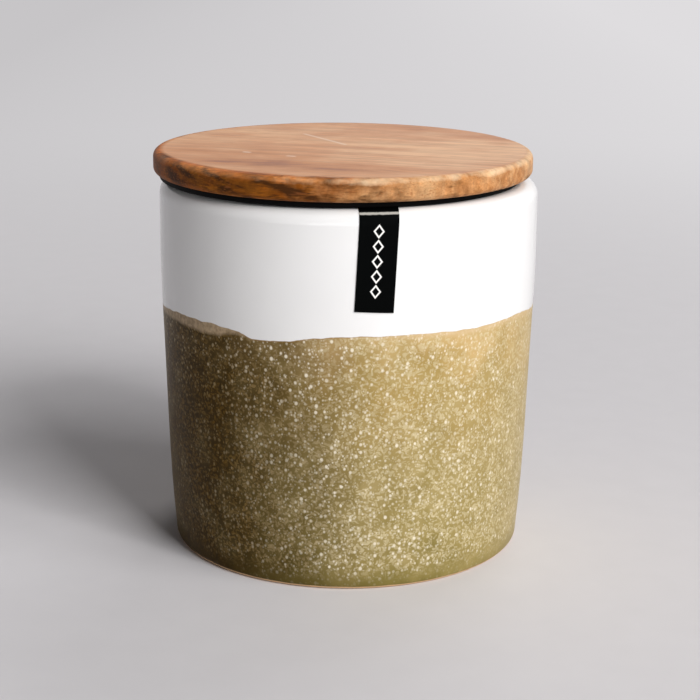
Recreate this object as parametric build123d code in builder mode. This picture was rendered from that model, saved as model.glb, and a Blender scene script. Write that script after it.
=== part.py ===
import os
from math import cos, radians, sin

from build123d import *

# A stoneware storage jar with a wooden lift-off lid and a silicone seal.
# Lengths are in millimetres and angles in degrees. +Z is up, the front is toward -Y, and the
# origin is the middle of the foot, on the surface that the jar stands on.

# Jar body
body_radius = 62.5           # widest, high on the wall
jar_height = 122.6           # foot to the top of the rim
wall_thickness = 7.0         # at the mouth
base_wall_thickness = 6.0    # where the wall meets the floor
floor_thickness = 7.5        # from the standing surface to the inside floor
floor_rounding = 8.0         # inside corner between the floor and the wall
shoulder_rounding = 4.6      # outer edge of the rim
lip_rounding = 0.8           # inner edge of the rim
mouth_depth = 16.0           # straight stretch of the mouth, for the seal
foot_rounding = 1.9          # outer corner of the foot
foot_ring_width = 6.0
foot_recess = 1.6            # hollow of the underside inside the foot ring

# Outer wall from the foot up, as shares of jar_height and of body_radius
base_radius_share = 0.9405
wall_shares = ((0.18, 0.963), (0.41, 0.979), (0.61, 0.991), (0.775, 1.0))
rim_radius_share = 0.9985
base_flare_share = 0.085     # run over rise of the wall just above the foot

# Label strip, folded over the rim at the front
label_width = 12.0
label_thickness = 0.3
label_drop = 31.0            # from the top of the rim to the strip's lower end
label_turn = 7.3             # from the front toward +X, at the strip's lower end
label_lean = 2.8             # the upper end leans toward +X
label_setback = 0.2          # the inner end stays this far from the rounding of the lip

# Lid
lid_inset = 0.1              # its edge lies this much inside the widest part of the wall
lid_thickness = 7.3
lid_top_rounding = 2.2
lid_bottom_rounding = 1.8
lid_shift = -1.9             # the lid lies off the jar's axis, toward -X

# Plug under the lid
plug_depth = 12.0
plug_clearance = 1.5         # to the mouth, at the side that the lid is shifted to
plug_rounding = 1.0
groove_depth = 1.6           # seat of the seal around the plug
plug_lip_height = 2.2        # below the groove, it keeps the seal on

# Seal
flange_inset = 3.0           # from the lid's edge to the edge of the flange
flange_thickness = 1.9       # between the lid and the rim
flange_rounding = 0.5
flange_shift = -1.0          # the flange lies off the lid's axis, toward -X
sleeve_thickness = 1.3
fin_count = 3
fin_thickness = 0.9
fin_pitch = 2.5
fin_bevel = 0.6              # the upper edge of a fin reaches this much further out
fin_clearance = 0.3          # to the wall of the mouth
fin_start = 1.6              # from the underside of the flange to the top of the first fin

# Places worked out from the sizes above
base_radius = body_radius * base_radius_share
foot_radius = base_radius - foot_rounding
rim_radius = body_radius * rim_radius_share
mouth_radius = rim_radius - wall_thickness
inner_base_radius = base_radius - base_wall_thickness
lid_radius = body_radius - lid_inset
flange_radius = lid_radius - flange_inset
flange_bottom = jar_height + label_thickness
lid_bottom = flange_bottom + flange_thickness
plug_bottom = lid_bottom - plug_depth
plug_radius = mouth_radius - abs(lid_shift) - plug_clearance
groove_radius = plug_radius - groove_depth
fin_radius = mouth_radius - fin_clearance


def outer_wall(skin=0):
    # Draws the outside from the foot to the flat of the rim, moved outward by skin.
    wall_points = [(body_radius * r + skin, jar_height * h) for h, r in wall_shares]
    wall = Spline(
        (base_radius + skin, foot_rounding),
        *wall_points,
        (rim_radius + skin, jar_height - shoulder_rounding),
        tangents=[(base_flare_share, 1), (0, 1)],
    )
    shoulder_end = (rim_radius - shoulder_rounding, jar_height + skin)
    shoulder = TangentArc(wall @ 1, shoulder_end, tangent=wall % 1)
    return wall, shoulder


# Jar body: one turned profile from the foot ring up the outside, over the rim and down inside
with BuildPart() as jar_body:
    with BuildSketch(Plane.XZ):
        with BuildLine():
            outside, shoulder = outer_wall()
            foot_corner = TangentArc(outside @ 0, (foot_radius, 0), tangent=-(outside % 0))
            rim_flat = Line(shoulder @ 1, (mouth_radius + lip_rounding, jar_height))
            lip_end = (mouth_radius, jar_height - lip_rounding)
            lip = TangentArc(rim_flat @ 1, lip_end, tangent=rim_flat % 1)
            mouth = Line(lip @ 1, (mouth_radius, jar_height - mouth_depth))
            inside_end = (inner_base_radius, floor_thickness + floor_rounding)
            inside = TangentArc(mouth @ 1, inside_end, tangent=mouth % 1)
            floor_edge = (inner_base_radius - floor_rounding, floor_thickness)
            floor_corner = TangentArc(inside @ 1, floor_edge, tangent=inside % 1)
            ring_inner_radius = foot_radius - foot_ring_width
            Polyline(
                floor_corner @ 1,
                (0, floor_thickness),
                (0, foot_recess),
                (ring_inner_radius - foot_recess, foot_recess),
                (ring_inner_radius, 0),
                foot_corner @ 1,
            )
        make_face()
    revolve(axis=Axis.Z)
jar_body.part.label = "jar_body"

# Label: a skin over the outside of the jar, cut to a leaning strip
label_middle = Vector(sin(radians(label_turn)), -cos(radians(label_turn)), 0)
label_side = Vector(cos(radians(label_turn)), sin(radians(label_turn)), 0)
label_plane = Plane(
    origin=label_middle * body_radius + Vector(0, 0, jar_height - label_drop),
    x_dir=label_side * cos(radians(label_lean)) - Vector(0, 0, sin(radians(label_lean))),
    z_dir=label_middle,
)

with BuildPart() as rim_label:
    with BuildSketch(Plane.XZ):
        with BuildLine():
            outside, shoulder = outer_wall(label_thickness)
            inner_end = mouth_radius + lip_rounding + label_setback
            Polyline(
                shoulder @ 1,
                (inner_end, jar_height + label_thickness),
                (inner_end, foot_rounding),
                outside @ 0,
            )
        make_face()
    revolve(axis=Axis.Z)
    with BuildSketch(label_plane):
        Rectangle(label_width, 2 * label_drop, align=(Align.CENTER, Align.MIN))
    extrude(amount=body_radius, both=True, mode=Mode.INTERSECT)
    add(jar_body.part, mode=Mode.SUBTRACT)
rim_label.part.label = "rim_label"

# Lid: a wooden disc with both edges eased
with BuildPart() as lid_disc:
    with BuildSketch(Plane((lid_shift, 0, lid_bottom))):
        Circle(lid_radius)
    extrude(amount=lid_thickness)
    lid_edges = lid_disc.edges().filter_by(GeomType.CIRCLE).sort_by(Axis.Z)
    fillet(lid_edges[-1], lid_top_rounding)
    fillet(lid_edges[0], lid_bottom_rounding)
lid_disc.part.label = "lid_disc"

# Plug: a smaller disc glued under the lid, with a groove for the seal
with BuildPart() as lid_plug:
    with BuildSketch(Plane((lid_shift, 0, plug_bottom))):
        Circle(plug_radius)
    extrude(amount=plug_lip_height)
    with BuildSketch(Plane((lid_shift, 0, plug_bottom))):
        Circle(groove_radius)
    extrude(amount=plug_depth)
    plug_edges = lid_plug.edges().filter_by(GeomType.CIRCLE).sort_by(Axis.Z)
    fillet(plug_edges[0], plug_rounding)
lid_plug.part.label = "lid_plug"

# Seal: a flange between the lid and the rim, a sleeve around the plug and fins for the mouth
with BuildPart() as lid_seal:
    with BuildSketch(Plane((lid_shift + flange_shift, 0, flange_bottom))):
        Circle(flange_radius)
    extrude(amount=flange_thickness)
    flange_edges = lid_seal.edges().filter_by(GeomType.CIRCLE).sort_by(Axis.Z)
    fillet(flange_edges[0], flange_rounding)
    with BuildSketch(Plane((lid_shift, 0, plug_bottom + plug_lip_height))):
        Circle(groove_radius + sleeve_thickness)
    extrude(amount=plug_depth - plug_lip_height)
    # The fins are centred on the mouth, so that they reach its wall all round.
    for fin in range(fin_count):
        fin_bottom = flange_bottom - fin_start - fin_thickness - fin * fin_pitch
        with Locations((0, 0, fin_bottom)):
            Cone(
                bottom_radius=fin_radius - fin_bevel,
                top_radius=fin_radius,
                height=fin_thickness,
                align=(Align.CENTER, Align.CENTER, Align.MIN),
            )
    with BuildSketch(Plane((lid_shift, 0, plug_bottom))):
        Circle(groove_radius)
    extrude(amount=plug_depth, mode=Mode.SUBTRACT)
lid_seal.part.label = "lid_seal"

os.makedirs("parts", exist_ok=True)
for piece in (jar_body, rim_label, lid_disc, lid_plug, lid_seal):
    export_step(piece.part, "parts/" + piece.part.label + ".step")
    size = piece.part.bounding_box().size
    print(f"{piece.part.label}: {size.X:.1f} x {size.Y:.1f} x {size.Z:.1f} mm")
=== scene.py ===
import math
from functools import partial
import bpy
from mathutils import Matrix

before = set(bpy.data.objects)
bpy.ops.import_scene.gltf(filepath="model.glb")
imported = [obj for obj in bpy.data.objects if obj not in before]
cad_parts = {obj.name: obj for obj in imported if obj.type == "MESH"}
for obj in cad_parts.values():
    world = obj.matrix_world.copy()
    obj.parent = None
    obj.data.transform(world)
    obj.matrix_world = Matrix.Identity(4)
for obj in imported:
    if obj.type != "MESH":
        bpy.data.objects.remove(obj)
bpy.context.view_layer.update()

from types import SimpleNamespace

import bmesh
import bpy
from mathutils import Quaternion, Vector

# The frame is in metres. Materials work in millimetres, so that a pattern's scale is one over
# the real size of what it draws. A name that ends in Noise gives the values of a noise at which
# what it draws begins and is full.
millimetre = 0.001
fullTurn = (-180, 180)   # bearings in degrees, from the front toward +X


def linearColour(hexCode):
    # turns an sRGB hex value into the linear values that the sockets take
    channels = [int(hexCode[i:i + 2], 16) / 255 for i in (0, 2, 4)]
    linear = [c / 12.92 if c <= 0.04045 else ((c + 0.055) / 1.055) ** 2.4 for c in channels]
    return (*linear, 1.0)


def direction(bearing, rise=0):
    # the direction of a bearing and a rise, both in degrees
    turn = math.radians(bearing)
    lift = math.radians(rise)
    level = Vector((math.sin(turn), -math.cos(turn), 0)) * math.cos(lift)
    return level + Vector((0, 0, math.sin(lift)))


def addNode(tree, kind, inputs=None, **settings):
    # adds a node, sets its properties, and fills its inputs with values or links; a name means
    # the input in use that has it, and a node is linked from its first output in use
    node = tree.nodes.new("ShaderNode" + kind)
    for name, value in settings.items():
        setattr(node, name, value)
    for name, value in (inputs or {}).items():
        inUse = [socket for socket in node.inputs if socket.enabled and socket.name == name]
        target = inUse[0] if inUse else node.inputs[name]
        if isinstance(value, bpy.types.Node):
            value = next(socket for socket in value.outputs if socket.enabled)
        if isinstance(value, bpy.types.NodeSocket):
            tree.links.new(value, target)
        else:
            target.default_value = value
    return node


def between(source, result=(0, 1)):
    # the limits that turn one range into another
    return {"From Min": source[0], "From Max": source[1], "To Min": result[0], "To Max": result[1]}


def perSize(sizes):
    # the scale of a pattern that has these sizes along the three axes
    return [1 / size for size in sizes]


def addAlong(add, share, points, reach, values=(0, 1)):
    # a value that changes smoothly over a reach, from a few (place, value) in it; where a point
    # of the surface lies in that reach comes in as a share
    curve = add("FloatCurve", {"Value": share})
    line = curve.mapping.curves[0]
    places = [(place - reach[0]) / (reach[1] - reach[0]) for place, _ in points]
    levels = [(value - values[0]) / (values[1] - values[0]) for _, value in points]
    corners = list(zip(places, levels))
    line.points[0].location = corners[0]
    line.points[1].location = corners[-1]
    for corner in corners[1:-1]:
        line.points.new(*corner)
    curve.mapping.update()
    return add("MapRange", {"Value": curve, **between((0, 1), values)})


def setStops(ramp, stops):
    # gives a ramp its (place, colour) stops
    elements = ramp.color_ramp.elements
    for place, _ in stops[1:-1]:
        elements.new(place)
    for element, (place, colour) in zip(elements, stops):
        element.position = place
        element.color = colour


def addSeen(add):
    # one for what the camera sees, straight or in a reflection, and zero for what only gives light
    ray = add("LightPath").outputs
    return add("Math", {0: ray["Is Camera Ray"], 1: ray["Is Glossy Ray"]}, operation="MAXIMUM")


def startMaterial(name, look):
    # an empty material, what adds its nodes, object coordinates in millimetres, and its tones
    material = bpy.data.materials.new(name)
    material.use_nodes = True
    material.node_tree.nodes.clear()
    add = partial(addNode, material.node_tree)
    coordinates = add("TexCoord").outputs["Object"]
    place = add("VectorMath", {0: coordinates, "Scale": 1 / millimetre}, operation="SCALE")
    tone = {toneName: linearColour(hexCode) for toneName, hexCode in look["tones"].items()}
    return material, add, place, tone


def giveMaterial(nodeName, material):
    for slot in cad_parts[nodeName].material_slots:
        slot.material = material


# Camera, at the place and angle of the photograph's
cameraView = {
    "place": (0, -0.5625, 0.2168),
    "pitchDown": 15.30,
    "turnRight": 0.09,
    "roll": 0.48,
    "focalPixels": 1713,
    "framePixels": 700,
    "sensorWidth": 36,
    "nearest": 10 * millimetre,
}


def makeCamera(view):
    data = bpy.data.cameras.new("camera")
    data.sensor_width = view["sensorWidth"]
    data.lens = view["sensorWidth"] * view["focalPixels"] / view["framePixels"]
    data.clip_start = view["nearest"]
    camera = bpy.data.objects.new("camera", data)
    bpy.context.scene.collection.objects.link(camera)
    back = direction(-view["turnRight"], view["pitchDown"])
    roll = Quaternion((0, 0, 1), math.radians(view["roll"]))
    camera.location = view["place"]
    camera.rotation_mode = "QUATERNION"
    camera.rotation_quaternion = back.to_track_quat("Z", "Y") @ roll
    bpy.context.scene.camera = camera


makeCamera(cameraView)
print("camera placed")

# Floor and backdrop: one pale sweep of paper, in metres apart from the millimetres of its tones
sweepLook = {
    "halfWidth": 4.5,
    "front": -4.5,
    "back": 4.4,
    "height": 4.0,
    "bendRadius": 1.6,
    "bendSteps": 24,
    "tones": {"paper": "d5d2d4", "mottle": "dad7d9", "farLeft": "c7c5c7", "farRight": "dfdddf"},
    "mottleSize": 14,
    "roughness": 0.95,
    "specular": 0.2,
    "farReach": (-430, 430),   # from the far tone of the left to that of the right
    "fadeRange": (60, 1000),   # distances from the jar's foot between which they take over
}


def makeSweep(look):
    bm = bmesh.new()
    bendStart = look["back"] - look["bendRadius"]
    start = bm.verts.new((-look["halfWidth"], bendStart, 0))
    bent = bmesh.ops.spin(
        bm, geom=[start], cent=(0, bendStart, look["bendRadius"]), axis=(1, 0, 0),
        angle=math.pi / 2, steps=look["bendSteps"])
    topEnd = bent["geom_last"][0]
    toFront = (0, look["front"] - start.co.y, 0)
    toTop = (0, 0, look["height"] - topEnd.co.z)
    for end, move in ((start, toFront), (topEnd, toTop)):
        run = bmesh.ops.extrude_vert_indiv(bm, verts=[end])
        bmesh.ops.translate(bm, verts=run["verts"], vec=move)
    side = bmesh.ops.extrude_edge_only(bm, edges=bm.edges[:])
    across = [part for part in side["geom"] if isinstance(part, bmesh.types.BMVert)]
    bmesh.ops.translate(bm, verts=across, vec=(2 * look["halfWidth"], 0, 0))
    for face in bm.faces:
        face.smooth = True
        if face.normal.z < 0 or face.normal.y > 0:
            face.normal_flip()
    mesh = bpy.data.meshes.new("paperSweep")
    bm.to_mesh(mesh)
    bm.free()
    sweep = bpy.data.objects.new("paperSweep", mesh)
    bpy.context.scene.collection.objects.link(sweep)
    return sweep


def makeMattPaper(look):
    # Matt grey card: no gloss, a very faint mottle from its fibres. Far behind the jar, what the
    # camera and reflections see of it is a plain pale tone, as on a card with a light of its own
    material, add, place, tone = startMaterial("mattPaper", look)
    mottle = add("TexNoise", {"Vector": place, "Scale": 1 / look["mottleSize"], "Detail": 4})
    colour = add("Mix", {"Factor": mottle, "A": tone["paper"], "B": tone["mottle"]},
                 data_type="RGBA")
    paper = add("BsdfPrincipled", {
        "Base Color": colour,
        "Roughness": look["roughness"],
        "Specular IOR Level": look["specular"],
    })

    aside = add("SeparateXYZ", {0: place}).outputs["X"]
    aside = add("MapRange", {"Value": aside, **between(look["farReach"])})
    farTone = add("Mix", {"Factor": aside, "A": tone["farLeft"], "B": tone["farRight"]},
                  data_type="RGBA")
    glow = add("Emission", {"Color": farTone, "Strength": 1.0})
    fromJar = add("VectorMath", {0: place}, operation="LENGTH")
    faded = add("MapRange", {"Value": fromJar, **between(look["fadeRange"])},
                interpolation_type="SMOOTHSTEP")
    share = add("Math", {0: addSeen(add), 1: faded}, operation="MULTIPLY")
    surface = add("MixShader", {0: share, 1: paper, 2: glow})
    add("OutputMaterial", {"Surface": surface})
    material.cycles.emission_sampling = "NONE"
    return material


makeSweep(sweepLook).data.materials.append(makeMattPaper(sweepLook))
print("sweep laid")

# Soft studio light: a large window light from the right with a second one above it, a low fill by
# the camera, a weak one from the left and one behind. Sizes and distances are in metres.
lampSet = {
    "windowLight": {"bearing": 38, "rise": 30, "distance": 5, "size": (2.1, 2.1), "power": 226,
                    "gloss": False},   # seen from behind, its glare would whiten the whole lid
    "sideWindow": {"bearing": 60, "rise": 41, "distance": 5, "size": (2.4, 2.3), "power": 92},
    "cameraFill": {"bearing": 0, "rise": 7, "distance": 4.4, "size": (3.0, 0.9), "power": 25},
    "leftFill": {"bearing": -40, "rise": 20, "distance": 4.4, "size": (2.3, 1.6), "power": 1.5},
    "backLight": {"bearing": 155, "rise": 45, "distance": 4, "size": (2.0, 2.0), "power": 30},
}
lampTarget = Vector((0, 0, 0.07))
worldLook = {"colour": "dcdadd", "strengths": (0.02, 1.0)}   # as a light, and as it is seen


def makeLamp(name, lamp):
    data = bpy.data.lights.new(name, "AREA")
    data.shape = "RECTANGLE"
    data.size, data.size_y = lamp["size"]
    data.energy = lamp["power"]
    light = bpy.data.objects.new(name, data)
    bpy.context.scene.collection.objects.link(light)
    out = direction(lamp["bearing"], lamp["rise"])
    light.location = lampTarget + out * lamp["distance"]
    light.rotation_mode = "QUATERNION"
    light.rotation_quaternion = out.to_track_quat("Z", "Y")
    light.visible_camera = False
    light.visible_glossy = lamp.get("gloss", True)


def makeWorld(look):
    # the camera and the gloss see a pale room; what lights the jar is left to the lamps
    world = bpy.data.worlds.new("paleRoom")
    world.use_nodes = True
    world.node_tree.nodes.clear()
    add = partial(addNode, world.node_tree)
    strength = add("MapRange", {"Value": addSeen(add), **between((0, 1), look["strengths"])})
    room = add("Background", {"Color": linearColour(look["colour"]), "Strength": strength})
    add("OutputWorld", {"Surface": room})
    bpy.context.scene.world = world


for lampName, lampSettings in lampSet.items():
    makeLamp(lampName, lampSettings)
makeWorld(worldLook)
print("lamps set")

# Jar body: stoneware, dipped in white from the rim down and in a reactive olive from the foot up
stonewareLook = {
    "tones": {
        "whiteGlaze": "ebeae9",
        "whiteShade": "e5e4e3",
        # the dark tones below are partly painted shade: darker copies for the side away from the light
        "darkGlaze": "3d2b05",
        "darkRun": "332404",
        "cloud": "b8a576",
        "strand": "cfc09c",
        "darkStrand": "75571f",
        "tanBand": "cdb28b",
        "darkBand": "bda587",
        "dot": "eae0cb",
        "darkDot": "8f733a",
        "paintedSheen": "b8a376",
        "edgeLine": "946f42",
        "clay": "d8b48c",
    },
    # height of the white's lower edge and depth of the tan band under it, by bearing
    "whiteEdge": ((-180, 83.0), (-130, 82.4), (-100, 81.2), (-80, 81.4), (-66, 82.8), (-45, 83.6),
                  (-39, 83.2), (-34, 82.9), (-30, 82.0), (-26, 81.2), (-13, 82.6), (0, 83.9), (18, 84.0),
                  (38, 83.6), (58, 83.8), (74, 82.4), (105, 81.8), (145, 83.6), (180, 83.0)),
    "edgeRange": (78, 86),
    "bandDepth": ((-180, 1.2), (-120, 0.8), (-85, 2.0), (-62, 3.4), (-50, 4.2), (-44, 4.1), (-38, 2.6),
                  (-33, 1.4), (-28, 0.6), (-24, 0.3), (0, 0.5), (20, 2.0), (60, 2.4), (90, 1.0),
                  (140, 2.2), (180, 1.2)),
    "depthRange": (0, 8),
    "wanderSize": 5.5,
    "wanderReach": (-0.6, 0.6),     # how far the glaze edges stray, down and up
    "edgeBlur": 0.1,                # how far they are blurred, down and up
    # share of the olive that has broken into crystals, by bearing, and how far that strays;
    # its dark left is partly painted shade
    "crystals": ((-180, 0.75), (-140, 0.8), (-105, 0.5), (-82, 0.12), (-60, 0.0), (-42, 0.05),
                 (-28, 0.17), (-14, 0.38), (0, 0.68), (14, 0.93), (40, 1.0), (80, 0.9), (125, 0.8),
                 (180, 0.75)),
    "crystalPatch": 12,
    "crystalNoise": (0.25, 0.75),
    "crystalStray": (-0.13, 0.13),
    "palingCrystals": (0, 0.8),     # shares between which strands and band go from dark to pale; the dark is partly painted shade
    # ground of the olive where it is full of crystals, by height
    "ground": ((2, "7b6e3b"), (12, "90804c"), (45, "9a8755"), (68, "a48b53"), (83, "c2a36e")),
    "groundCloud": 18,
    "groundLift": (-24, 24),
    # ground where it has hardly any, drawn out up and down; its darkness is partly painted shade
    "runSizes": (1.9, 1.9, 12),
    "runNoise": (0.35, 0.7),
    # crowds of fine crystals
    "crowdSize": 8,
    "crowdNoise": (0.42, 0.7),
    "crowdCover": 0.45,
    "crowdFoot": (2.5, 9),          # they and the strands set in between these heights
    # strands: width and height of their cells, and what fades with the distance in a cell
    "strandSizes": ((1.0, 2.1), (2.1, 1.0)),
    "strandBend": 2.6,
    "strandSway": 3.0,
    "strandFade": (0.46, 0.3),
    "strandStrength": (0.45, 1),
    "strandCover": (0.46, 0.82),    # outside the crowds and in them
    # tan band
    "bandBearings": (0.42, 0.5),    # shares of the turn between which it goes from firm to soft
    "bandSoftness": (1.3, 1.8),
    "bandMottle": 1.3,
    "bandNoise": (0.35, 0.65),
    "bandCover": (0.5, 0.9),
    # dots: cell, radius of the smallest and of the largest, strength
    "dots": ((1.55, 0.34, 0.75, 0.95), (1.05, 0.23, 0.5, 0.85)),
    "dotSquash": 0.85,
    "dotSoftness": 0.42,
    "dimmestDot": 0.45,
    "dotFoot": (3, 8),
    "dotsAtFoot": 0.15,
    "dotsInBand": 0.7,
    "dotShoulder": (54, 74),        # on the dark side, partly painted shade, they brighten between these heights
    "dotsInShade": 0.55,
    "dotCrystals": (0.15, 0.6),     # shares of crystals between which they show fully everywhere
    "paleCrystals": (-0.04, 0.28),  # and between which they go from dark to pale, the dark partly painted shade
    "fullCrystals": (0.5, 1),       # and between which they fade into the others
    "dotsInFull": 0.82,
    # share of the painted sheen, a pale veil on the side toward the light, by bearing
    "paintedSheenShare": ((-180, 0.18), (-120, 0.1), (-60, 0.0), (20, 0.0), (52, 0.1), (80, 0.34), (130, 0.3),
                  (180, 0.18)),
    # brown line right under the white, strong where the band is narrow
    "lineBand": (0.6, 1.9),
    "lineStrength": (0.55, 0.05),
    "lineFade": (0.5, 0.1),
    # white, and bare clay
    "shadeSize": 30,
    "insideRadius": 57,
    "clayEdge": 1.0,
    "clayWander": 0.3,
    "recessRadius": 52.5,
    "recessTop": 1.75,
    "gritSize": 0.6,
    "gritTone": (0.8, 1.2),
    # gloss
    "oliveRoughness": 0.38,
    "whiteRoughness": 0.2,
    "clayRoughness": 0.85,
    "specular": 0.06,
    "whiteCoat": 0.7,
    "coatRoughness": 0.15,
    # relief
    "waveSize": 7,
    "waveHeight": 0.05,
    "dotHeight": 0.02,
    "whiteStep": 0.06,
}


def addPolar(add, place):
    # bearing around the jar, as a share of the turn that starts at the back, distance from its
    # axis, and height
    x, y, height = add("SeparateXYZ", {0: place}).outputs
    toFront = add("Math", {0: y, 1: -1}, operation="MULTIPLY")
    angle = add("Math", {0: x, 1: toFront}, operation="ARCTAN2")
    bearing = add("MapRange", {"Value": angle, **between((-math.pi, math.pi))})
    flat = add("CombineXYZ", {"X": x, "Y": y})
    radius = add("VectorMath", {0: flat}, operation="LENGTH")
    return bearing, radius, height


def addGlazeEdge(at, look):
    # how far a place is below the white's edge, which wanders by a few tenths of a millimetre
    add = at.add
    wander = add("TexNoise", {"Vector": at.place, "Scale": 1 / look["wanderSize"], "Detail": 2})
    at.wander = add("MapRange", {"Value": wander, **between((0, 1), look["wanderReach"])})
    edge = addAlong(add, at.bearing, look["whiteEdge"], fullTurn, look["edgeRange"])
    edge = add("Math", {0: edge, 1: at.wander}, operation="ADD")
    at.below = add("Math", {0: edge, 1: at.height}, operation="SUBTRACT")


def addCrystals(at, look):
    # how far the olive has broken into crystals: hardly on the left, fully from the front to the right,
    # which partly paints the shade of the left side; and how densely the finest of them crowd, which
    # they do from a little over the foot
    add = at.add
    breaking = add("TexNoise", {"Vector": at.place, "Scale": 1 / look["crystalPatch"], "Detail": 4,
                                "Roughness": 0.6})
    stray = between(look["crystalNoise"], look["crystalStray"])
    stray = add("MapRange", {"Value": breaking, **stray})
    share = addAlong(add, at.bearing, look["crystals"], fullTurn)
    at.crystals = add("Math", {0: share, 1: stray}, operation="ADD", use_clamp=True)
    at.paling = add("MapRange", {"Value": at.crystals, **between(look["palingCrystals"])})

    crowd = add("TexNoise", {"Vector": at.place, "Scale": 1 / look["crowdSize"], "Detail": 4,
                             "Roughness": 0.6})
    crowd = add("MapRange", {"Value": crowd, **between(look["crowdNoise"])})
    at.overFoot = add("MapRange", {"Value": at.height, **between(look["crowdFoot"])})
    at.crowd = add("Math", {0: crowd, 1: at.overFoot}, operation="MULTIPLY")


def addOliveGround(at, look):
    # ground: amber under the white, greener and deeper toward the foot, in soft clouds
    add = at.add
    cloudy = add("TexNoise", {"Vector": at.place, "Scale": 1 / look["groundCloud"], "Detail": 3,
                              "Roughness": 0.55})
    lift = add("MapRange", {"Value": cloudy, **between((0, 1), look["groundLift"])})
    level = add("Math", {0: at.height, 1: lift}, operation="ADD")
    top = look["edgeRange"][1]
    level = add("MapRange", {"Value": level, **between((0, top))})
    full = add("ValToRGB", {"Fac": level})
    setStops(full, [(height / top, linearColour(colour)) for height, colour in look["ground"]])

    # runs: the glaze slid down a little in the kiln, which shows on the dark side
    drawnOut = add("Mapping", {"Vector": at.place, "Scale": perSize(look["runSizes"])})
    runs = add("TexNoise", {"Vector": drawnOut, "Scale": 1, "Detail": 3})
    runs = add("MapRange", {"Value": runs, **between(look["runNoise"])})
    dark = add("Mix", {"Factor": runs, "A": at.tone["darkGlaze"], "B": at.tone["darkRun"]},
               data_type="RGBA")
    # painted shade in part: the dark ground takes over on the side away from the light
    ground = add("Mix", {"Factor": at.crystals, "A": dark, "B": full}, data_type="RGBA")

    # pale clouds where fine crystals crowd
    crowded = add("Math", {0: at.crowd, 1: at.crystals}, operation="MULTIPLY")
    crowded = add("Math", {0: crowded, 1: look["crowdCover"]}, operation="MULTIPLY")
    return add("Mix", {"Factor": crowded, "A": ground, "B": at.tone["cloud"]}, data_type="RGBA")


def addStrands(at, look, ground):
    # strands: a dense felt of short bent crystals about half a millimetre wide, lying or upright
    add = at.add
    bend = add("TexNoise", {"Vector": at.place, "Scale": 1 / look["strandBend"], "Detail": 1})
    bend = add("VectorMath", {0: bend.outputs["Color"], 1: (0.5, 0.5, 0.5)}, operation="SUBTRACT")
    sway = (look["strandSway"],) * 3
    bent = add("VectorMath", {0: bend, 1: sway, 2: at.place}, operation="MULTIPLY_ADD")
    laid = []
    for wide, tall in look["strandSizes"]:
        cells = add("Mapping", {"Vector": bent, "Scale": perSize((wide, wide, tall))})
        cells = add("TexVoronoi", {"Vector": cells, "Scale": 1})
        chance = add("SeparateColor", {0: cells.outputs["Color"]})
        bright = add("MapRange", {"Value": chance, **between((0, 1), look["strandStrength"])})
        laid.append(add("MapRange", {"Value": cells, **between(look["strandFade"], (0, bright))},
                        interpolation_type="SMOOTHSTEP"))
    dashes = add("Math", {0: laid[0], 1: laid[1]}, operation="MAXIMUM")
    cover = add("MapRange", {"Value": at.crowd, **between((0, 1), look["strandCover"])})
    cover = add("Math", {0: cover, 1: at.overFoot}, operation="MULTIPLY")
    strands = add("Math", {0: dashes, 1: cover}, operation="MULTIPLY")
    # painted shade in part: the strands darken on the side away from the light
    colour = add("Mix", {"Factor": at.paling, "A": at.tone["darkStrand"], "B": at.tone["strand"]},
                 data_type="RGBA")
    return add("Mix", {"Factor": strands, "A": ground, "B": colour}, data_type="RGBA")


def addTanBand(at, look, ground):
    # tan band where the white runs thin over the olive: firmer on the left, softer on the right
    add = at.add
    at.bandDepth = addAlong(add, at.bearing, look["bandDepth"], fullTurn, look["depthRange"])
    softness = between(look["bandBearings"], look["bandSoftness"])
    softness = add("MapRange", {"Value": at.bearing, **softness})
    inBand = add("Math", {0: at.bandDepth, 1: at.below}, operation="SUBTRACT")
    inBand = add("Math", {0: inBand, 1: softness}, operation="DIVIDE", use_clamp=True)
    mottle = add("TexNoise", {"Vector": at.place, "Scale": 1 / look["bandMottle"], "Detail": 2})
    mottle = add("MapRange", {"Value": mottle, **between(look["bandNoise"], look["bandCover"])})
    at.inBand = add("Math", {0: inBand, 1: mottle}, operation="MULTIPLY")
    # painted shade in part: the band darkens on the side away from the light
    colour = add("Mix", {"Factor": at.paling, "A": at.tone["darkBand"], "B": at.tone["tanBand"]},
                 data_type="RGBA")
    return add("Mix", {"Factor": at.inBand, "A": ground, "B": colour}, data_type="RGBA")


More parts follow.
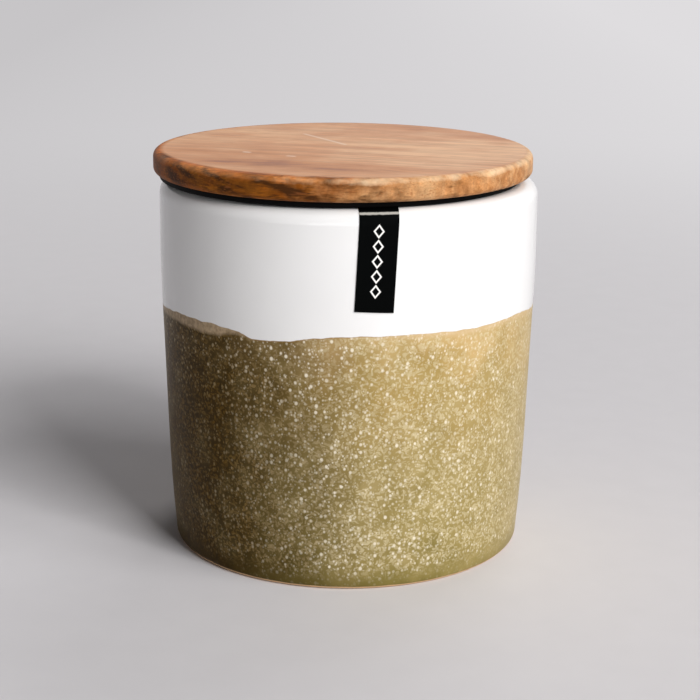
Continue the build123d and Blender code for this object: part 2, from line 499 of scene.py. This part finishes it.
def addDots(at, look, ground):
    # dots: round cream crystals of two sizes, each a ball in the glaze that the surface cuts
    add = at.add
    layers = []
    for cell, smallest, largest, strength in look["dots"]:
        cells = perSize((cell, cell, cell / look["dotSquash"]))
        cells = add("Mapping", {"Vector": at.place, "Scale": cells})
        cells = add("TexVoronoi", {"Vector": cells, "Scale": 1})
        sizeChance, brightChance, _ = add("SeparateColor", {0: cells.outputs["Color"]}).outputs
        radii = between((0, 1), (smallest / cell, largest / cell))
        size = add("MapRange", {"Value": sizeChance, **radii})
        inside = add("Math", {0: size, 1: cells}, operation="SUBTRACT")
        strengths = between((0, 1), (look["dimmestDot"] * strength, strength))
        bright = add("MapRange", {"Value": brightChance, **strengths})
        softEdge = between((0, look["dotSoftness"] / cell), (0, bright))
        layers.append(add("MapRange", {"Value": inside, **softEdge}, interpolation_type="SMOOTHSTEP"))
    dots = add("Math", {0: layers[0], 1: layers[1]}, operation="MAXIMUM")

    # they are fewer at the foot, in the band and where crystals are thick, and on the dark side they are
    # dimmer below the olive's shoulder, partly as painted shade
    nearFoot = add("MapRange", {"Value": at.height, **between(look["dotFoot"], (look["dotsAtFoot"], 1))})
    shadeBelowShoulder = add("MapRange", {"Value": at.height, **between(look["dotShoulder"], (look["dotsInShade"], 1))})
    outOfShade = add("MapRange", {"Value": at.crystals, **between(look["dotCrystals"])})
    outOfShade = add("Math", {0: shadeBelowShoulder, 1: outOfShade}, operation="MAXIMUM")
    outOfBand = add("MapRange", {"Value": at.inBand, **between((0, 1), (1, look["dotsInBand"]))})
    fainter = between(look["fullCrystals"], (1, look["dotsInFull"]))
    fainter = add("MapRange", {"Value": at.crystals, **fainter})
    for share in (nearFoot, outOfShade, outOfBand, fainter):
        dots = add("Math", {0: dots, 1: share}, operation="MULTIPLY")
    at.dots = dots
    paling = add("MapRange", {"Value": at.crystals, **between(look["paleCrystals"])})
    colour = add("Mix", {"Factor": paling, "A": at.tone["darkDot"], "B": at.tone["dot"]},
                 data_type="RGBA")
    return add("Mix", {"Factor": dots, "A": ground, "B": colour}, data_type="RGBA")


def addOlive(at, look):
    add = at.add
    olive = addOliveGround(at, look)
    olive = addStrands(at, look, olive)
    olive = addTanBand(at, look, olive)
    olive = addDots(at, look, olive)

    # painted sheen: a pale veil toward the right, where the light falls on the glaze
    paintedSheen = addAlong(add, at.bearing, look["paintedSheenShare"], fullTurn)
    olive = add("Mix", {"Factor": paintedSheen, "A": olive, "B": at.tone["paintedSheen"]}, data_type="RGBA")

    # a thin brown line right under the white
    line = add("MapRange", {"Value": at.bandDepth, **between(look["lineBand"], look["lineStrength"])})
    line = add("MapRange", {"Value": at.below, **between(look["lineFade"], (0, line))})
    return add("Mix", {"Factor": line, "A": olive, "B": at.tone["edgeLine"]}, data_type="RGBA")


def addWhite(at, look):
    # the white and where it lies: above the edge and all over the inside
    add = at.add
    shade = add("TexNoise", {"Vector": at.place, "Scale": 1 / look["shadeSize"], "Detail": 2})
    above = add("MapRange", {"Value": at.below, **between((look["edgeBlur"], -look["edgeBlur"]))})
    inner = add("Math", {0: at.radius, 1: look["insideRadius"]}, operation="LESS_THAN")
    at.isWhite = add("Math", {0: above, 1: inner}, operation="MAXIMUM")
    return add("Mix", {"Factor": shade, "A": at.tone["whiteGlaze"], "B": at.tone["whiteShade"]},
               data_type="RGBA")


def addClay(at, look):
    # the bare clay and where it lies: on the foot ring and in the hollow of the underside
    add = at.add
    clayLine = add("Math", {0: at.wander, 1: look["clayWander"], 2: look["clayEdge"]},
                   operation="MULTIPLY_ADD")
    low = add("Math", {0: clayLine, 1: at.height}, operation="SUBTRACT")
    foot = add("MapRange", {"Value": low, **between((-look["edgeBlur"], look["edgeBlur"]))})
    within = add("Math", {0: at.radius, 1: look["recessRadius"]}, operation="LESS_THAN")
    under = add("Math", {0: at.height, 1: look["recessTop"]}, operation="LESS_THAN")
    recess = add("Math", {0: within, 1: under}, operation="MULTIPLY")
    at.isClay = add("Math", {0: foot, 1: recess}, operation="MAXIMUM")
    grit = add("TexNoise", {"Vector": at.place, "Scale": 1 / look["gritSize"], "Detail": 3})
    grit = add("MapRange", {"Value": grit, **between((0, 1), look["gritTone"])})
    return add("Mix", {"Factor": 1.0, "A": at.tone["clay"], "B": grit}, data_type="RGBA",
               blend_type="MULTIPLY")


def addGlazeRelief(at, look):
    # a soft wave of the glaze, the dots standing proud of it, and the step of the white's edge
    add = at.add
    wave = add("TexNoise", {"Vector": at.place, "Scale": 1 / look["waveSize"], "Detail": 1})
    wave = add("Math", {0: wave, 1: look["waveHeight"]}, operation="MULTIPLY")
    isOlive = add("Math", {0: 1.0, 1: at.isWhite}, operation="SUBTRACT")
    dots = add("Math", {0: at.dots, 1: look["dotHeight"]}, operation="MULTIPLY")
    dots = add("Math", {0: dots, 1: isOlive}, operation="MULTIPLY")
    step = add("Math", {0: at.isWhite, 1: look["whiteStep"], 2: wave}, operation="MULTIPLY_ADD")
    relief = add("Math", {0: step, 1: dots}, operation="ADD")
    return add("Bump", {"Height": relief, "Distance": millimetre})


def makeStoneware(look):
    # Glazed stoneware: glassy white over a buff clay, and a mottled olive reactive glaze with pale
    # crystals that gives a soft, deep gloss; only the foot is left as bare clay
    material, add, place, tone = startMaterial("glazedStoneware", look)
    bearing, radius, height = addPolar(add, place)
    # what is known of a place on the jar; each step adds what the next ones need
    at = SimpleNamespace(add=add, place=place, tone=tone, bearing=bearing, radius=radius, height=height)
    addGlazeEdge(at, look)
    addCrystals(at, look)
    olive = addOlive(at, look)
    white = addWhite(at, look)
    clay = addClay(at, look)
    glaze = add("Mix", {"Factor": at.isWhite, "A": olive, "B": white}, data_type="RGBA")
    colour = add("Mix", {"Factor": at.isClay, "A": glaze, "B": clay}, data_type="RGBA")

    # the white is the glassier glaze, the clay is dry
    rough = between((0, 1), (look["oliveRoughness"], look["whiteRoughness"]))
    rough = add("MapRange", {"Value": at.isWhite, **rough})
    rough = add("Mix", {"Factor": at.isClay, "A": rough, "B": look["clayRoughness"]})
    coat = add("Math", {0: at.isWhite, 1: look["whiteCoat"]}, operation="MULTIPLY")
    shader = add("BsdfPrincipled", {
        "Base Color": colour,
        "Roughness": rough,
        "Specular IOR Level": look["specular"],
        "Coat Weight": coat,
        "Coat Roughness": look["coatRoughness"],
        "Normal": addGlazeRelief(at, look),
    })
    add("OutputMaterial", {"Surface": shader})
    return material


giveMaterial("jar_body", makeStoneware(stonewareLook))
print("stoneware glazed")

# Label: a printed strip folded over the rim; its length runs up the strip from the lower end
labelLook = {
    "lowerEnd": (7.94, -61.99, 91.6),
    "turn": 7.3,
    "lean": 2.8,
    "tones": {"film": "030404", "print": "e9e7e3", "creaseHighlight": "b9b6ae"},
    "creaseHeight": 121.6,
    "creaseFade": (0.4, 0.2),   # from the crease's middle, where the painted highlight begins and is full
    "creaseCover": 0.85,
    "lineWobbleSize": 0.7,
    "lineWobbleReach": (-0.15, 0.15),
    "motifPitch": 4.6,
    "motifWidth": 3.6,
    "motifCount": 5,
    "motifStart": 4.2,
    "motifReach": 0.78,         # where the ink lies, from the motif's middle, 0, to its points, 1
    "inkFade": (0.2, 0.14),     # from the ink's middle, where it begins and is full
    "roughness": 0.5,
    "specular": 0.03,
}


def addLozenges(add, look, across, along):
    # a plain row of lozenge outlines
    halfPitch = look["motifPitch"] / 2
    halfWidth = look["motifWidth"] / 2
    fromStart = add("Math", {0: along, 1: look["motifStart"]}, operation="SUBTRACT")
    up = add("Math", {0: fromStart, 1: halfPitch}, operation="PINGPONG")
    up = add("Math", {0: up, 1: halfPitch}, operation="DIVIDE")
    up = add("Math", {0: 1.0, 1: up}, operation="SUBTRACT")
    aside = add("Math", {0: across}, operation="ABSOLUTE")
    aside = add("Math", {0: aside, 1: halfWidth}, operation="DIVIDE")
    reach = add("Math", {0: aside, 1: up}, operation="ADD")
    fromLine = add("Math", {0: reach, 1: look["motifReach"]}, operation="SUBTRACT")
    fromLine = add("Math", {0: fromLine}, operation="ABSOLUTE")
    outline = add("MapRange", {"Value": fromLine, **between(look["inkFade"])})
    rowLength = look["motifCount"] * look["motifPitch"]
    afterStart = add("Math", {0: fromStart, 1: 0.0}, operation="GREATER_THAN")
    beforeEnd = add("Math", {0: fromStart, 1: rowLength}, operation="LESS_THAN")
    inRow = add("Math", {0: afterStart, 1: beforeEnd}, operation="MULTIPLY")
    return add("Math", {0: outline, 1: inRow}, operation="MULTIPLY")


def makeLabelFilm(look):
    # PVC film, calendered and screen printed: a dead black with a low satin sheen, a plain row of
    # lozenges in pale ink, and a painted highlight, a pale line where it is folded over the rim
    material, add, place, tone = startMaterial("printedFilm", look)
    turn = (0, math.radians(look["lean"]), math.radians(look["turn"]))
    onStrip = add("Mapping", {"Vector": place, "Location": look["lowerEnd"], "Rotation": turn},
                  vector_type="TEXTURE")
    across, _, along = add("SeparateXYZ", {0: onStrip}).outputs
    ink = addLozenges(add, look, across, along)
    printed = add("Mix", {"Factor": ink, "A": tone["film"], "B": tone["print"]}, data_type="RGBA")

    # painted highlight along the fold, its height wobbled a little by a noise
    lineWobble = add("TexNoise", {"Vector": place, "Scale": 1 / look["lineWobbleSize"], "Detail": 2})
    lineWobble = add("MapRange", {"Value": lineWobble, **between((0, 1), look["lineWobbleReach"])})
    height = add("SeparateXYZ", {0: place}).outputs["Z"]
    height = add("Math", {0: height, 1: lineWobble}, operation="ADD")
    fromCrease = add("Math", {0: height, 1: look["creaseHeight"]}, operation="SUBTRACT")
    fromCrease = add("Math", {0: fromCrease}, operation="ABSOLUTE")
    worn = between(look["creaseFade"], (0, look["creaseCover"]))
    worn = add("MapRange", {"Value": fromCrease, **worn})
    colour = add("Mix", {"Factor": worn, "A": printed, "B": tone["creaseHighlight"]}, data_type="RGBA")
    shader = add("BsdfPrincipled", {
        "Base Color": colour,
        "Roughness": look["roughness"],
        "Specular IOR Level": look["specular"],
    })
    add("OutputMaterial", {"Surface": shader})
    return material


giveMaterial("rim_label", makeLabelFilm(labelLook))
print("label printed")

# Lid and plug: one board each, with its grain along the turned X axis
boardLooks = {
    "lid_disc": {"centre": (-1.9, 0, 128.5), "grainTurn": 16, "pithAside": 34, "pithBelow": -60},
    "lid_plug": {"centre": (-1.9, 0, 118.5), "grainTurn": 16, "pithAside": -26, "pithBelow": -75},
}
acaciaLook = {
    "top": 132.1,                   # height of the lid's upper face
    "edgeRadius": 62.4,
    "tones": {
        "dark": "95572e",
        "red": "cb8549",
        "mid": "db9b65",
        "pale": "efba87",
        "oiled": "d9dad6",          # the three oiled ones are filters over the wood
        # the next two also paint shade down the side and light along the upper rounding
        "oiledDark": "a3813b",
        "oiledEdge": "f2c892",
        "sideStreak": "3f230b",
        # painted highlight along the upper edge
        "worn": "f6dab4",
        "nick": "f8e2cc",
    },
    "woodTones": ((0.1, "dark"), (0.36, "red"), (0.6, "mid"), (0.9, "pale")),
    # figure: level of the wide bands by place across the grain, and what is added to it
    "acrossLevel": ((-64, 0.6), (-48, 0.62), (-38, 0.52), (-30, 0.54), (-24, 0.5), (-18, 0.58),
                    (-9, 0.52), (-4, 0.6), (8, 0.58), (20, 0.64), (30, 0.58), (42, 0.64), (50, 0.56),
                    (56, 0.54), (64, 0.6)),
    "acrossRange": (-66, 66),
    "swingSizes": (70, 22, 22),
    "swingReach": (-16, 16),
    "bandSwing": 0.35,              # share of the swing that the wide bands follow
    "ringWidth": 7.5,
    "ringWeight": 0.42,
    "patchSizes": (30, 10, 10),
    "patchWeight": 0.65,
    "bloomSize": 17,
    "bloomWeight": 0.6,
    "levelRange": (0.86, 1.7),
    # darker and paler patches on the top, in the grain's own axes: along, across, half length,
    # half width, depth
    "patches": ((-8, -41, 34, 10, 0.3), (14, 52, 22, 7, 0.22), (16, -44, 18, 4, 0.2),
                (44, 40, 18, 7, 0.24), (-36, -20, 30, 3, 0.12), (46, 8, 28, 18, -0.2),
                (40, -22, 22, 9, -0.14)),
    "patchThrough": 1000,           # they go right through the board
    "patchFray": -1.4,              # by the soft patches, and by the dark lines
    "patchLines": -2.2,
    "patchFade": (-0.35, -1.45),
    # dark lines, fibres and pores; real fibres and pores are finer than this, and drawn so fine
    # they wouldn't show
    "lineSizes": (75, 2.4, 2.4),
    "lineNoise": (0.36, 0.62),
    "lineCover": 0.34,
    "fibreSizes": (20.25, 0.45, 0.45),
    "fibreNoise": (0.3, 0.7),
    "fibreTone": (0.86, 1.12),
    "poreSizes": (4.48, 0.32, 0.32),
    "poreScale": 0.6,               # they lie further apart than they are wide
    "poreNoise": (0.64, 0.76),
    "poreCover": 0.4,
    # oil in the edge, with painted shade toward the left end and down the side, painted light on the
    # rounding
    "blotchSize": 7,
    "blotchReach": (-35, 35),
    "oilAndShadeFade": (32, -2),            # along the grain, from dry to soaked and painted in shade
    "oilLightToShade": (0.5, 2.2),         # under the top, where the painted light of the rounding turns to painted shade
    "oilRim": (2.6, 0.8),           # inside the edge, where the oiled side begins and is full
    "oilForward": (-8, -40),        # toward the front it reaches further over the rounding,
    "oilReach": (1, 3),             # by this much where it soaked in
    "endGrainSizes": (3.5, 3.5, 6),
    "endGrainNoise": (0.3, 0.7),
    "endGrainTone": (0.72, 1.25),
    # streaks on the edge: length, width, change of level
    "streaks": ((11, 3.2, 0.0), (5, 0.7, -0.05)),
    "streakTurn": 16,
    "streakOil": 0.1,               # more of them where the oil soaked in and the side is painted in shade
    "streakNoise": (0.54, 0.8),
    "streakCover": 0.95,
    # dark patches on the edge: bearing, height, half length, half height, depth
    "sidePatches": ((-58, 127.8, 5, 1.6, 0.34), (-51, 129.8, 5, 1.1, 0.28), (-38, 130.2, 7, 0.7, 0.24),
                    (-34, 127.0, 8, 0.8, 0.16), (-21, 129.8, 5, 0.9, 0.17), (-15, 128.4, 4, 1.2, 0.2),
                    (-9, 126.8, 5, 1.1, 0.17), (0, 126.0, 6, 0.7, 0.12)),
    "sidePatchTurn": 14,
    "sidePatchThrough": 20,
    "sidePatchFray": 1.5,
    "sidePatchFade": (2.3, 0.9),
    # painted highlight along the upper edge, broken in patches, and less of it where the oil soaked in
    "rubSize": 8,
    "edgeHighlightReach": (0.3, 3.5),
    "edgeHighlightFade": 1.2,
    "edgeHighlightStrength": 0.65,
    "edgeHighlightOnOil": 0.2,
    # nicks and a scratch on the top, from its middle: from x, y, to x, y, half width, strength
    "marks": ((-31.8, -11.0, -30.4, -11.6, 1.1, 0.85), (-17.6, -18.6, -15.6, -19.2, 0.9, 0.85),
              (-13.5, 31.0, 0.6, 7.0, 1.0, 0.55)),
    "markCore": 0.2,                # share of the half width that has the full strength
    "markDepth": 0.1,
    # gloss and relief
    "roughness": (0.42, 0.6),
    "specular": 0.06,
    "topFilm": 0.6,
    "sideFilm": 0.04,
    "filmRoughness": 0.35,
    "fibreHeight": 0.03,
    "poreDepth": 0.06,
}
roughNoise = {"Detail": 4, "Roughness": 0.6}


def addFigure(at, board, look):
    # level of the wood's tone: rings around the pith, wide bands, soft patches and blooms, all
    # but the blooms carried off their line by slow swings or drawn out along the grain
    add = at.add
    swing = add("Mapping", {"Vector": at.grain, "Scale": perSize(look["swingSizes"])})
    swing = add("TexNoise", {"Vector": swing, "Scale": 1, "Detail": 2})
    swing = add("MapRange", {"Value": swing, **between((0, 1), look["swingReach"])})
    aside = add("Math", {0: at.across, 1: board["pithAside"]}, operation="SUBTRACT")
    above = add("Math", {0: at.through, 1: board["pithBelow"]}, operation="SUBTRACT")
    fromPith = add("CombineXYZ", {"X": aside, "Y": above})
    ring = add("VectorMath", {0: fromPith}, operation="LENGTH")
    ring = add("Math", {0: ring, 1: swing}, operation="ADD")
    ring = add("Math", {0: ring, 1: look["ringWidth"]}, operation="DIVIDE")
    rings = add("TexNoise", {"W": ring, "Scale": 1, **roughNoise}, noise_dimensions="1D")

    drift = add("Math", {0: swing, 1: look["bandSwing"], 2: at.across}, operation="MULTIPLY_ADD")
    drift = add("MapRange", {"Value": drift, **between(look["acrossRange"])})
    level = addAlong(add, drift, look["acrossLevel"], look["acrossRange"])
    patch = add("Mapping", {"Vector": at.grain, "Scale": perSize(look["patchSizes"])})
    patch = add("TexNoise", {"Vector": patch, "Scale": 1, **roughNoise})
    bloom = add("TexNoise", {"Vector": at.grain, "Scale": 1 / look["bloomSize"], **roughNoise})
    for layer, weight in ((rings, "ringWeight"), (patch, "patchWeight"), (bloom, "bloomWeight")):
        level = add("Math", {0: layer, 1: look[weight], 2: level}, operation="MULTIPLY_ADD")

    # patches that fray at their edge
    for along, across, halfLength, halfWidth, depth in look["patches"]:
        inPatch = add("Mapping", {
            "Vector": at.grain,
            "Location": (along, across, 0),
            "Scale": (halfLength, halfWidth, look["patchThrough"]),
        }, vector_type="TEXTURE")
        reach = add("VectorMath", {0: inPatch}, operation="LENGTH")
        reach = add("Math", {0: patch, 1: look["patchFray"], 2: reach}, operation="MULTIPLY_ADD")
        reach = add("Math", {0: at.lines, 1: look["patchLines"], 2: reach}, operation="MULTIPLY_ADD")
        deep = add("MapRange", {"Value": reach, **between(look["patchFade"], (0, depth))},
                   interpolation_type="SMOOTHSTEP")
        level = add("Math", {0: level, 1: deep}, operation="SUBTRACT")
    return add("MapRange", {"Value": level, **between(look["levelRange"])})


def addPlainWood(at, board, look):
    # the figure, with fibres and dark lines over it that are long along the grain
    add = at.add
    lines = add("Mapping", {"Vector": at.grain, "Scale": perSize(look["lineSizes"])})
    at.lines = add("TexNoise", {"Vector": lines, "Scale": 1, "Detail": 4, "Roughness": 0.55,
                                "Distortion": 0.3})
    fibre = add("Mapping", {"Vector": at.grain, "Scale": perSize(look["fibreSizes"])})
    at.fibre = add("TexNoise", {"Vector": fibre, "Scale": 1, "Detail": 3})
    wood = add("ValToRGB", {"Fac": addFigure(at, board, look)})
    setStops(wood, [(level, at.tone[toneName]) for level, toneName in look["woodTones"]])
    fibreTone = between(look["fibreNoise"], look["fibreTone"])
    fibreTone = add("MapRange", {"Value": at.fibre, **fibreTone})
    wood = add("Mix", {"Factor": 1.0, "A": wood, "B": fibreTone}, data_type="RGBA",
               blend_type="MULTIPLY")
    lined = add("MapRange", {"Value": at.lines, **between(look["lineNoise"], (look["lineCover"], 0))})
    return add("Mix", {"Factor": lined, "A": wood, "B": at.tone["dark"]}, data_type="RGBA")


def addStreakLevel(at, board, look):
    # dark streaks of the edge: slanted ones all round, and patches where the photograph has them
    add = at.add
    slant = (0, math.radians(look["streakTurn"]), 0)
    layers = []
    for length, width, change in look["streaks"]:
        streak = add("Mapping", {
            "Vector": at.place,
            "Rotation": slant,
            "Scale": perSize((length, length, width)),
        })
        streak = add("TexNoise", {"Vector": streak, "Scale": 1, "Distortion": 0.6, **roughNoise})
        streak = add("Math", {0: streak, 1: change}, operation="ADD")
        layers.append(add("Math", {0: at.soaked, 1: look["streakOil"], 2: streak},
                          operation="MULTIPLY_ADD"))
    level = add("Math", {0: layers[0], 1: layers[1]}, operation="MAXIMUM")
    x, y, _ = board["centre"]
    for bearing, height, halfLength, halfHeight, depth in look["sidePatches"]:
        inPatch = add("Mapping", {
            "Vector": at.place,
            "Location": Vector((x, y, height)) + direction(bearing) * look["edgeRadius"],
            "Rotation": (0, math.radians(look["sidePatchTurn"]), math.radians(bearing)),
            "Scale": (halfLength, look["sidePatchThrough"], halfHeight),
        }, vector_type="TEXTURE")
        reach = add("VectorMath", {0: inPatch}, operation="LENGTH")
        reach = add("Math", {0: at.fibre, 1: look["sidePatchFray"], 2: reach},
                    operation="MULTIPLY_ADD")
        deep = add("MapRange", {"Value": reach, **between(look["sidePatchFade"], (0, depth))},
                   interpolation_type="SMOOTHSTEP")
        level = add("Math", {0: level, 1: deep}, operation="ADD")
    return level


def addOiledAndShadedSide(at, board, look, wood):
    # oil went into the edge: deeper and more orange there; darkest toward the board's left end and down
    # the side, which is painted shade, and paler orange along the upper rounding, which is painted light
    add = at.add
    blotch = add("TexNoise", {"Vector": at.place, "Scale": 1 / look["blotchSize"], "Detail": 4,
                              "Roughness": 0.62})
    blotch = add("MapRange", {"Value": blotch, **between((0, 1), look["blotchReach"])})
    leftward = add("Math", {0: blotch, 1: at.along}, operation="ADD")
    at.soaked = add("MapRange", {"Value": leftward, **between(look["oilAndShadeFade"])})
    downEdge = add("MapRange", {"Value": at.underTop, **between(look["oilLightToShade"])})
    oilLightAndShade = add("Mix", {"Factor": downEdge, "A": at.tone["oiledEdge"], "B": at.tone["oiledDark"]},
              data_type="RGBA")
    oilLightAndShade = add("Mix", {"Factor": at.soaked, "A": at.tone["oiled"], "B": oilLightAndShade}, data_type="RGBA")
    mottle = add("Mapping", {"Vector": at.place, "Scale": perSize(look["endGrainSizes"])})
    mottle = add("TexNoise", {"Vector": mottle, "Scale": 1, "Detail": 4, "Roughness": 0.65})
    mottle = add("MapRange", {"Value": mottle, **between(look["endGrainNoise"], look["endGrainTone"])})
    # the side's tone, with the painted light and shade of the filters
    oiled = wood
    for filterTone in (oilLightAndShade, mottle):
        oiled = add("Mix", {"Factor": 1.0, "A": oiled, "B": filterTone}, data_type="RGBA",
                    blend_type="MULTIPLY")
    streaked = between(look["streakNoise"], (0, look["streakCover"]))
    streaked = add("MapRange", {"Value": addStreakLevel(at, board, look), **streaked})
    oiled = add("Mix", {"Factor": streaked, "A": oiled, "B": at.tone["sideStreak"]}, data_type="RGBA")

    forward = add("SeparateXYZ", {0: at.centred}).outputs["Y"]
    further = add("MapRange", {"Value": forward, **between(look["oilForward"], look["oilReach"])})
    outward = add("Math", {0: at.soaked, 1: further, 2: at.fromMiddle}, operation="MULTIPLY_ADD")
    rim = [look["edgeRadius"] - inset for inset in look["oilRim"]]
    at.inSide = add("MapRange", {"Value": outward, **between(rim)})
    return add("Mix", {"Factor": at.inSide, "A": wood, "B": oiled}, data_type="RGBA")


def addPores(at, look, wood):
    # open pores, as short dark dashes
    add = at.add
    pores = add("Mapping", {"Vector": at.grain, "Scale": perSize(look["poreSizes"])})
    pores = add("TexNoise", {"Vector": pores, "Scale": look["poreScale"], "Detail": 0})
    at.pores = add("MapRange", {"Value": pores, **between(look["poreNoise"], (0, look["poreCover"]))})
    return add("Mix", {"Factor": at.pores, "A": wood, "B": at.tone["dark"]}, data_type="RGBA")


def addPaintedEdgeHighlight(at, look, wood):
    # painted highlight: the upper edge is painted pale in places, mostly on the dry side toward the
    # light
    add = at.add
    nearEdge = add("Math", {0: look["edgeRadius"], 1: at.fromMiddle}, operation="SUBTRACT")
    overEdge = add("Math", {0: nearEdge, 1: at.underTop}, operation="ADD")
    rub = add("TexNoise", {"Vector": at.place, "Scale": 1 / look["rubSize"], "Detail": 5,
                           "Roughness": 0.65})
    rub = add("MapRange", {"Value": rub, **between((0, 1), look["edgeHighlightReach"])})
    rub = add("Math", {0: rub, 1: overEdge}, operation="SUBTRACT")
    rub = add("MapRange", {"Value": rub, **between((0, look["edgeHighlightFade"]), (0, look["edgeHighlightStrength"]))})
    dryAndLit = add("MapRange", {"Value": at.soaked, **between((0, 1), (1, look["edgeHighlightOnOil"]))})
    rub = add("Math", {0: rub, 1: dryAndLit}, operation="MULTIPLY")
    return add("Mix", {"Factor": rub, "A": wood, "B": at.tone["worn"]}, data_type="RGBA")


def addMarks(at, look, wood):
    # nicks and a scratch, each by its distance from a short straight run
    add = at.add
    onTop = add("Math", {0: at.underTop, 1: look["markDepth"]}, operation="LESS_THAN")
    for fromX, fromY, toX, toY, halfWidth, strength in look["marks"]:
        run = Vector((toX - fromX, toY - fromY, 0))
        perRun = run / run.length_squared
        fromStart = add("VectorMath", {0: at.flat, 1: (fromX, fromY, 0)}, operation="SUBTRACT")
        share = add("VectorMath", {0: fromStart, 1: perRun}, operation="DOT_PRODUCT")
        share = add("Math", {0: share, 1: 0.0}, operation="ADD", use_clamp=True)
        nearest = add("VectorMath", {0: run, "Scale": share}, operation="SCALE")
        gap = add("VectorMath", {0: fromStart, 1: nearest}, operation="DISTANCE")
        softEdge = (halfWidth, halfWidth * look["markCore"])
        mark = add("MapRange", {"Value": gap, **between(softEdge, (0, strength))})
        mark = add("Math", {0: mark, 1: onTop}, operation="MULTIPLY")
        wood = add("Mix", {"Factor": mark, "A": wood, "B": at.tone["nick"]}, data_type="RGBA")
    return wood


def makeAcacia(name, board, look):
    # Acacia, sawn and turned: warm brown with soft dark figure, fibres and open pores that run with
    # the grain and turn to a mottle on the end grain, where oil went in deep; a painted highlight
    # along the upper edge, and painted light and shade on the side
    material, add, place, tone = startMaterial(name, look)
    centred = add("VectorMath", {0: place, 1: board["centre"]}, operation="SUBTRACT")
    turn = (0, 0, math.radians(board["grainTurn"]))
    grain = add("Mapping", {"Vector": centred, "Rotation": turn})
    along, across, through = add("SeparateXYZ", {0: grain}).outputs
    flat = add("VectorMath", {0: centred, 1: (1, 1, 0)}, operation="MULTIPLY")
    fromMiddle = add("VectorMath", {0: flat}, operation="LENGTH")
    height = add("SeparateXYZ", {0: place}).outputs["Z"]
    underTop = add("Math", {0: look["top"], 1: height}, operation="SUBTRACT")
    # what is known of a place in the board; each step adds what the next ones need
    at = SimpleNamespace(
        add=add, place=place, tone=tone, centred=centred, grain=grain, along=along, across=across,
        through=through, flat=flat, fromMiddle=fromMiddle, underTop=underTop)
    wood = addPlainWood(at, board, look)
    wood = addOiledAndShadedSide(at, board, look, wood)
    wood = addPores(at, look, wood)
    wood = addPaintedEdgeHighlight(at, look, wood)
    wood = addMarks(at, look, wood)

    # a film of oil on the top, hardly any on the side
    rough = add("MapRange", {"Value": at.fibre, **between((0, 1), look["roughness"])})
    film = between((0, 1), (look["topFilm"], look["sideFilm"]))
    film = add("MapRange", {"Value": at.inSide, **film})
    dip = add("Math", {0: at.pores, 1: -look["poreDepth"]}, operation="MULTIPLY")
    relief = add("Math", {0: at.fibre, 1: look["fibreHeight"], 2: dip}, operation="MULTIPLY_ADD")
    shader = add("BsdfPrincipled", {
        "Base Color": wood,
        "Roughness": rough,
        "Specular IOR Level": look["specular"],
        "Coat Weight": film,
        "Coat Roughness": look["filmRoughness"],
        "Normal": add("Bump", {"Height": relief, "Distance": millimetre}),
    })
    add("OutputMaterial", {"Surface": shader})
    return material


for boardName, boardLook in boardLooks.items():
    giveMaterial(boardName, makeAcacia("oiledAcacia." + boardName, boardLook, acaciaLook))
print("boards grained")

# Seal
sealLook = {
    "tones": {"silicone": "060606", "dust": "121213"},
    "dustSize": 4,
    "dustNoise": (0.55, 0.8),
    "dustCover": 0.5,
    "roughness": 0.65,
    "specular": 0.06,
}


def makeSilicone(look):
    # Silicone rubber, moulded: a soft matt black that takes up a little dust
    material, add, place, tone = startMaterial("mouldedSilicone", look)
    dust = add("TexNoise", {"Vector": place, "Scale": 1 / look["dustSize"], "Detail": 5,
                            "Roughness": 0.7})
    dust = add("MapRange", {"Value": dust, **between(look["dustNoise"], (0, look["dustCover"]))})
    colour = add("Mix", {"Factor": dust, "A": tone["silicone"], "B": tone["dust"]},
                 data_type="RGBA")
    shader = add("BsdfPrincipled", {
        "Base Color": colour,
        "Roughness": look["roughness"],
        "Specular IOR Level": look["specular"],
    })
    add("OutputMaterial", {"Surface": shader})
    return material


giveMaterial("lid_seal", makeSilicone(sealLook))
print("seal moulded")

bpy.context.scene.view_settings.view_transform = "Standard"
